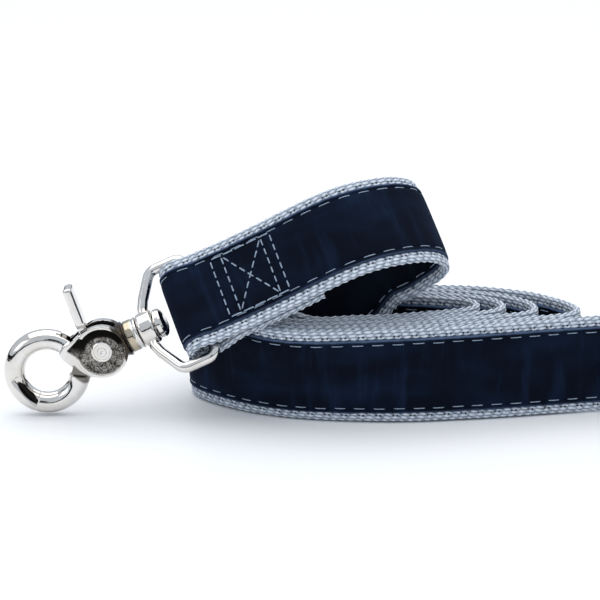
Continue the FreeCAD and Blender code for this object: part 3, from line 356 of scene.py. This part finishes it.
# ------------------------------------------------------------------ stitches
def stitches(name, runs, side, r=THREAD_R, depth=0.0):
    """runs: (s0, v0, s1, v1) thread lengths that show; each dips into the cloth at both ends"""
    runs = np.array(runs, float); L = np.hypot(runs[:, 2] - runs[:, 0], runs[:, 3] - runs[:, 1])
    prof = [(-0.02, -0.30), (0.03, 0.02), (0.12, 0.12), (0.30, 0.155), (0.5, 0.165), (0.70, 0.155), (0.88, 0.12), (0.97, 0.02), (1.02, -0.30)]
    ring = 6; nr = len(runs); npf = len(prof)
    t = np.array([p[0] for p in prof]); hgt = np.array([p[1] for p in prof]) + 0.33 - depth
    ss = runs[:, 0:1] + (runs[:, 2:3] - runs[:, 0:1]) * t; vs = runs[:, 1:2] + (runs[:, 3:4] - runs[:, 1:2]) * t
    P, T, W, N = frames(ss.ravel())
    base = P + W * vs.ravel()[:, None] + N * (side * (WEB_T / 2 + np.tile(hgt, nr)))[:, None]
    # thread directions in space, and a ring round each
    b = base.reshape(nr, npf, 3); d = np.gradient(b, axis=1); d /= np.linalg.norm(d, axis=2)[..., None]
    nrm = N.reshape(nr, npf, 3) * side; x = np.cross(d, nrm); x /= np.linalg.norm(x, axis=2)[..., None]; y = np.cross(x, d)
    ang = np.arange(ring) * 2 * np.pi / ring
    thick = r * np.array([0.75, 0.9, 1.0, 1.0, 1.0, 1.0, 1.0, 0.9, 0.75])
    vt = b[:, :, None] + thick[None, :, None, None] * (np.cos(ang)[None, None, :, None] * x[:, :, None] + 0.85 * np.sin(ang)[None, None, :, None] * y[:, :, None])
    faces = []
    one = strip_faces(npf, ring)
    for i in range(nr):
        o = i * npf * ring; faces += [[q + o for q in f] for f in one]
    al = np.repeat((L[:, None] * t).ravel(), ring); ac = np.tile(ang * r * 1.0, nr * npf)
    return mesh_object(name, vt.reshape(-1, 3), faces, th.m, {"along": al, "across": ac})
rs = np.random.default_rng(3)
def edge_rows(skip):
    runs = []
    for v0 in (-STITCH_V, STITCH_V):
        a = 0.6 if v0 < 0 else 1.1
        while a + DASH < LENGTH - 0.5:
            if not any(lo < a + DASH / 2 < hi for lo, hi in skip):
                j = rs.uniform(-0.09, 0.09, 3)
                runs.append((a + j[0], v0 + j[1] * 0.8, a + DASH + j[2], v0 + j[1] * 0.8))
            a += PITCH_S
    return runs
edge_outer = stitches("stitches_outer", edge_rows([]), -1)
edge_inner = stitches("stitches_inner", edge_rows([]), 1)
def box_runs(s0, s1, s2, s3, top):
    """box, doubled ends and cross of one seam; s0<s1<s2<s3 are its four lines across the strap"""
    runs = []
    def line(a, b, pitch=2.6, dash=1.75):
        L = math.dist(a, b); k = max(1, round(L / pitch)); 
        for i in range(k):
            t0 = (i + 0.5) / k - dash / pitch / 2 / k * 1.0; t1 = (i + 0.5) / k + dash / pitch / 2 / k
            runs.append((a[0] + (b[0] - a[0]) * t0, a[1] + (b[1] - a[1]) * t0, a[0] + (b[0] - a[0]) * t1, a[1] + (b[1] - a[1]) * t1))
    for x in (s0, s1, s2, s3): line((x, -top), (x, top))
    line((s0 + 0.1, top + 0.35), (s3 - 0.1, top + 0.35), 3.4, 2.9); line((s0 + 0.1, -top - 0.25), (s3 - 0.1, -top - 0.25), 3.4, 2.7)
    line((s1 + 0.3, -top + 0.2), (s2 - 0.2, top - 0.2)); line((s2 - 0.2, -top + 0.2), (s1 + 0.3, top - 0.2))
    return runs
FRONT = box_runs(55.1, 58.1, 69.5, 72.1, 8.1)
FOLD_S = 42.6
back = [(2 * FOLD_S - a, b, 2 * FOLD_S - c, d) for a, b, c, d in FRONT]
H0 = LENGTH - 27.0
hand = box_runs(H0, H0 + 3.0, H0 + 15.0, H0 + 18.0, 8.1)
tail = [(1021.9 + LENGTH - a, b, 1021.9 + LENGTH - c, d) for a, b, c, d in hand]
box_snap = stitches("box_stitches_snap", FRONT + back, -1, r=0.19, depth=-0.22)
box_hand = stitches("box_stitches_hand", hand + tail, -1, r=0.19, depth=-0.22)

regions = ("snap_end", "return", "coil", "hand_loop")
for ob, pre, slot_name in ((webbing, "webbing", "webbing"), (velvet_outer, "velvet_outer", "velvet"), (velvet_inner, "velvet_inner", "velvet")):
    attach(ob, "strap"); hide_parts(*["%s_%s" % (pre, r) for r in regions])
for ob in (edge_outer, edge_inner, box_snap, box_hand):
    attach(ob, "strap")

# ------------------------------------------------------------------ metal
HX = unit((-0.71, 0, -0.33)); HY = (HX[2], 0.0, -HX[0]); HZ = (0.0, 1.0, 0.0)
BAR_ROW = np.array(BAR) - ORG
def hook_point(x, y, z=0.0): return BAR_ROW + np.array(HX) * x + np.array(HY) * y + np.array(HZ) * z
def to_hook(co):
    """hook-frame coordinates in millimetres of points given in metres"""
    q = np.asarray(co) * 1000 - BAR_ROW
    return q @ np.array(HX), q @ np.array(HY), q @ np.array(HZ)
def casting(node, name, voxel, rounds):
    """one smooth cast skin over a CAD piece: its sharp joins melt into small fillets"""
    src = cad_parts[node]; me = src.data.copy(); me.transform(Matrix.Scale(1000.0, 4)); me.materials.clear()
    tmp = bpy.data.objects.new(name + "_tmp", me); sc.collection.objects.link(tmp)
    rm = tmp.modifiers.new("skin", "REMESH"); rm.mode = "VOXEL"; rm.voxel_size = voxel; rm.use_smooth_shade = True
    sm = tmp.modifiers.new("melt", "SMOOTH"); sm.factor = 0.5; sm.iterations = rounds
    bpy.context.view_layer.update()
    out = bpy.data.meshes.new_from_object(tmp.evaluated_get(bpy.context.evaluated_depsgraph_get()))
    bpy.data.objects.remove(tmp); out.transform(Matrix.Scale(0.001, 4)); out.name = name
    out.polygons.foreach_set("use_smooth", [True] * len(out.polygons))
    ob = bpy.data.objects.new(name, out); sc.collection.objects.link(ob)
    co = np.empty(len(out.vertices) * 3); out.vertices.foreach_get("co", co)
    return ob, co.reshape(-1, 3)
def put_attr(me, name, vals):
    at = me.attributes.new(name, "FLOAT", "POINT"); at.data.foreach_set("value", np.asarray(vals, np.float32))
def sstep(x, a, b):
    t = np.clip((x - a) / (b - a), 0, 1); return t * t * (3 - 2 * t)
def poly_dist(x, y, poly):
    """signed distance to a closed outline, negative inside"""
    d = np.full(x.shape, 1e9); inside = np.zeros(x.shape, bool); n = len(poly)
    for i in range(n):
        (ax, ay), (bx, by) = poly[i], poly[(i + 1) % n]; ex, ey = bx - ax, by - ay
        t = np.clip(((x - ax) * ex + (y - ay) * ey) / (ex * ex + ey * ey), 0, 1)
        d = np.minimum(d, np.hypot(x - ax - t * ex, y - ay - t * ey))
        c = ((ay > y) != (by > y)) & (x < (bx - ax) * (y - ay) / (by - ay + 1e-12) + ax); inside ^= c
    return np.where(inside, -d, d)
def nickel(name, rough_cast=False):
    m = Mat(name); o = m.obj(1000.0)
    waviness = m.noise(o, 0.35, 2.0); fine = m.noise(o, 9.0, 3.0, 0.6); stain = m.noise(o, 0.22, 3.0, 0.6)
    scr = m.new("ShaderNodeMapping"); scr.inputs["Rotation"].default_value = (0.4, 0.9, 0.3); scr.inputs["Scale"].default_value = (0.5, 9.0, 9.0)
    m.put(scr.inputs[0], o); scratch = m.noise(scr.outputs[0], 1.0, 2.0, 0.7)
    col = m.mix(m.step(stain, 0.35, 0.7), (0.72, 0.685, 0.64), (0.78, 0.76, 0.74))
    rough = m.math("ADD", m.math("MULTIPLY", m.step(scratch, 0.62, 0.80), 0.06), m.math("MULTIPLY_ADD", fine, 0.05, 0.045))
    height = m.math("ADD", m.math("MULTIPLY", waviness, 1.0), m.math("MULTIPLY", fine, 0.02))
    nrm = m.bump(height, 0.10, 0.0006)
    if rough_cast:
        mask, tip_painted_reflection, slot_painted_shade = m.attr("cast"), m.attr("tip_painted_reflection"), m.attr("slot")
        grit = m.noise(o, 2.6, 4.0, 0.72); grit2 = m.noise(o, 0.9, 2.0)
        cast = m.ramp(m.math("MULTIPLY_ADD", grit2, 0.35, m.math("MULTIPLY", grit, 0.8)), [(0.42, (0.010, 0.0095, 0.009)), (0.54, (0.13, 0.12, 0.105)), (0.66, (0.66, 0.62, 0.57))])
        # painted shade and dark reflection under the panel's rim, and painted shade in the slot
        cast = m.mix(m.attr("rim_painted_shade"), cast, (0.010, 0.009, 0.008)); cast = m.mix(slot_painted_shade, cast, (0.014, 0.012, 0.011))
        # band: the collar ring is darkened to a dark brown, and the step where the jaw meets the arm gets painted
        # shade
        col = m.mix(m.attr("warm"), col, (0.50, 0.43, 0.33)); col = m.mix(m.attr("band"), col, (0.055, 0.045, 0.035))
        # painted dark reflection and shade on the facet at the arm's tip
        col = m.mix(mask, col, cast); col = m.mix(tip_painted_reflection, col, (0.012, 0.011, 0.010))
        rough = m.math("ADD", rough, m.math("MULTIPLY", mask, 0.24))
        h2 = m.math("MULTIPLY", m.math("MULTIPLY", grit, 1.0), mask)
        nrm = m.bump(h2, 0.9, 0.0006, nrm)
    m.set(Base_Color=col, Roughness=rough, Normal=nrm)
    m.bsdf.inputs["Metallic"].default_value = 1.0
    return m.m
ni = nickel("nickel_plate"); ni_cast = nickel("nickel_plate_cast", True)
steel = Mat("spring_wire"); so = steel.obj(1000.0)
steel.set(Base_Color=steel.mix(steel.noise(so, 1.2, 2.0), (0.30, 0.29, 0.28), (0.46, 0.45, 0.44)), Roughness=steel.math("MULTIPLY_ADD", steel.noise(so, 6.0, 2.0), 0.15, 0.22))
steel.bsdf.inputs["Metallic"].default_value = 1.0
for node, mat in (("swivel_eye", ni), ("swivel_post", ni), ("rivet_pin", ni), ("return_spring", steel.m)):
    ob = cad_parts[node]
    if not ob.material_slots: ob.data.materials.append(mat)
    for k in range(len(ob.material_slots)): ob.material_slots[k].link = "OBJECT"; ob.material_slots[k].material = mat

hook_cast, co = casting("hook_body", "hook_casting", 0.13, 9)
x, y, z = to_hook(co); rad = np.hypot(x - 27.2, y - 0.2); az = np.abs(z); ang = np.degrees(np.arctan2(y - 0.2, x - 27.2))
TAIL_POLY = [(29.9, 5.0), (31.0, 5.9), (32.8, 5.05), (35.2, 4.1), (34.2, 2.6), (33.3, 1.0), (32.3, -0.9), (31.4, -2.6), (30.6, -3.6)]
inner = np.maximum(1 - sstep(rad, 5.85, 6.1), 1 - sstep(poly_dist(x, y, TAIL_POLY), -0.08, 0.15))
floor_z = (1 - sstep(az, 3.62, 3.85)) * sstep(az, 2.2, 2.6)
slot_m = (az < 1.80) & (rad < 9.6) & (x > 21.6) & (x < 36.4)
put_attr(hook_cast.data, "cast", np.maximum(inner * floor_z, slot_m))
# painted shade: the slot between the cheeks is coloured near black
put_attr(hook_cast.data, "slot", slot_m.astype(float))
# painted shade and dark reflection: the cast panel is darkened under its upper and swivel-side wall, standing in for
# the dark concave recess wall
crescent = sstep(rad + 0.9 * np.cos(np.radians(ang - 105)), 4.3, 5.0) * sstep(np.cos(np.radians(ang - 105)), -0.15, 0.35)
put_attr(hook_cast.data, "rim_painted_shade", crescent * (~slot_m))
tx, ty = x - 49.5, y + 2.0
ta, tb = tx * 0.2756 + ty * 0.9613, tx * 0.9613 - ty * 0.2756
# painted dark reflection and shade: a flat facet on the arm's tip near the seam is coloured near black
put_attr(hook_cast.data, "tip_painted_reflection", (1 - sstep((ta / 3.9) ** 2 + (tb / 1.15) ** 2, 0.8, 1.05)) * (az > 1.8))
CREVICE = [(36.8, -0.1), (35.1, -0.06), (32.95, -5.7), (34.0, -6.6), (35.45, -5.66), (37.55, -1.8)]      # shaded step where the jaw meets the arm
put_attr(hook_cast.data, "band", np.maximum(sstep(x, 19.2, 20.0) * (1 - sstep(x, 22.3, 22.9)) * (rad > 4.2) * (az < 6), 0.8 * (1 - sstep(poly_dist(x, y, CREVICE), -0.35, 0.3))))
put_attr(hook_cast.data, "warm", sstep(x, 17.6, 18.2) * (1 - sstep(x, 19.6, 20.4)) * (np.abs(y) < 7))
def close_seam(ob, co, side, at):
    """fills the rounding at the ring's parting face so that the two ends meet squarely"""
    x, y, z = to_hook(co); dx, dy = x - 42.8, y - 0.65; th_ = np.degrees(np.arctan2(dy, dx)); rr_ = np.hypot(dx, dy)
    dist = side * (th_ - at) * math.pi / 180 * rr_; tube = np.hypot(rr_ - 8.4, z)
    wgt = (1 - sstep(tube, 2.35, 2.75)) * (1 - sstep(dist, 0.15, 0.6)) * (dist > -0.6) * (np.abs(th_ - at) < 12)
    mv = (dist - 0.015) * wgt * side
    t = np.stack([-dy / rr_, dx / rr_], 1)
    d3 = (t[:, :1] * np.array(HX)[None] + t[:, 1:] * np.array(HY)[None]) * (-mv)[:, None] * 0.001
    ob.data.vertices.foreach_set("co", (co + d3).ravel()); ob.data.update()
close_seam(hook_cast, co, 1.0, -48.0)
hook_cast.data.materials.append(ni_cast)
trigger_cast, co = casting("trigger_jaw", "trigger_casting", 0.13, 9)
x, y, z = to_hook(co)
# painted shade in the step where the jaw meets the arm
put_attr(trigger_cast.data, "band", 0.8 * (1 - sstep(poly_dist(x, y, CREVICE), -0.35, 0.3)))
close_seam(trigger_cast, co, -1.0, -48.45)
trigger_cast.data.materials.append(ni_cast)
for ob, node, body in ((hook_cast, "hook_body", "hook"), (trigger_cast, "trigger_jaw", "trigger")):
    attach(ob, body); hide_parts(node)

# ------------------------------------------------------------------ floor, light and reflections
fl = Mat("floor_paper"); fn = fl.noise(fl.obj(1.0), 3.0, 2.0)
fl.set(Base_Color=fl.mix(fn, (0.90, 0.905, 0.915), (0.92, 0.923, 0.93)), Roughness=0.42)
fl.bsdf.inputs["Specular IOR Level"].default_value = 0.25
bpy.ops.mesh.primitive_plane_add(size=6.0, location=(0, 0, -0.00034)); floor = bpy.context.object; floor.name = "floor"; floor.data.materials.append(fl.m)
black = Mat("flag_black"); black.set(Base_Color=(0.004, 0.004, 0.004), Roughness=1.0); black.bsdf.inputs["Specular IOR Level"].default_value = 0.0
def flag(name, pts):
    me = bpy.data.meshes.new(name); me.from_pydata(pts, [], [(0, 1, 2, 3)]); me.materials.append(black.m)
    ob = bpy.data.objects.new(name, me); sc.collection.objects.link(ob)
    ob.visible_camera = ob.visible_diffuse = ob.visible_shadow = ob.visible_transmission = False
    return ob
def wall_flag(name, az0, az1, el0, el1, R=1.3):
    """upright black card seen from the object between two bearings (0 toward the camera, 90 to the right) and two heights in degrees"""
    c = Vector((-0.09, 0, 0.02)); P = []
    for az, el in ((az0, el0), (az1, el0), (az1, el1), (az0, el1)):
        a, e = math.radians(az), math.radians(el)
        P.append(tuple(c + Vector((math.sin(a) * R, -math.cos(a) * R, R * math.tan(e)))))
    return flag(name, P)
k = 0
for a0 in range(0, 360, 20):
    wall_flag("flag_low_%02d" % k, a0, a0 + 20, 0.3, 7.5); k += 1
wall_flag("flag_camera", -9, 9, 9, 24, 0.9)
def area(name, loc, aim, size, power, color):
    d = bpy.data.lights.new(name, "AREA"); d.shape = "RECTANGLE"; d.size, d.size_y = size; d.energy = power; d.color = color
    ob = bpy.data.objects.new(name, d); sc.collection.objects.link(ob); ob.location = loc
    ob.rotation_euler = (Vector(aim) - Vector(loc)).to_track_quat("-Z", "Y").to_euler(); return ob
area("soft_top", (-0.05, 0.30, 1.7), (-0.05, 0.12, 0.0), (2.8, 2.4), 30.0, (1.0, 0.975, 0.94))
area("soft_left", (-1.0, -0.5, 0.55), (-0.08, 0.0, 0.02), (0.6, 0.5), 0.9, (1.0, 0.98, 0.95))
world = bpy.data.worlds.new("world"); sc.world = world; world.use_nodes = True
bg = world.node_tree.nodes["Background"]; bg.inputs[0].default_value = (0.83, 0.905, 1.0, 1); bg.inputs[1].default_value = 0.76
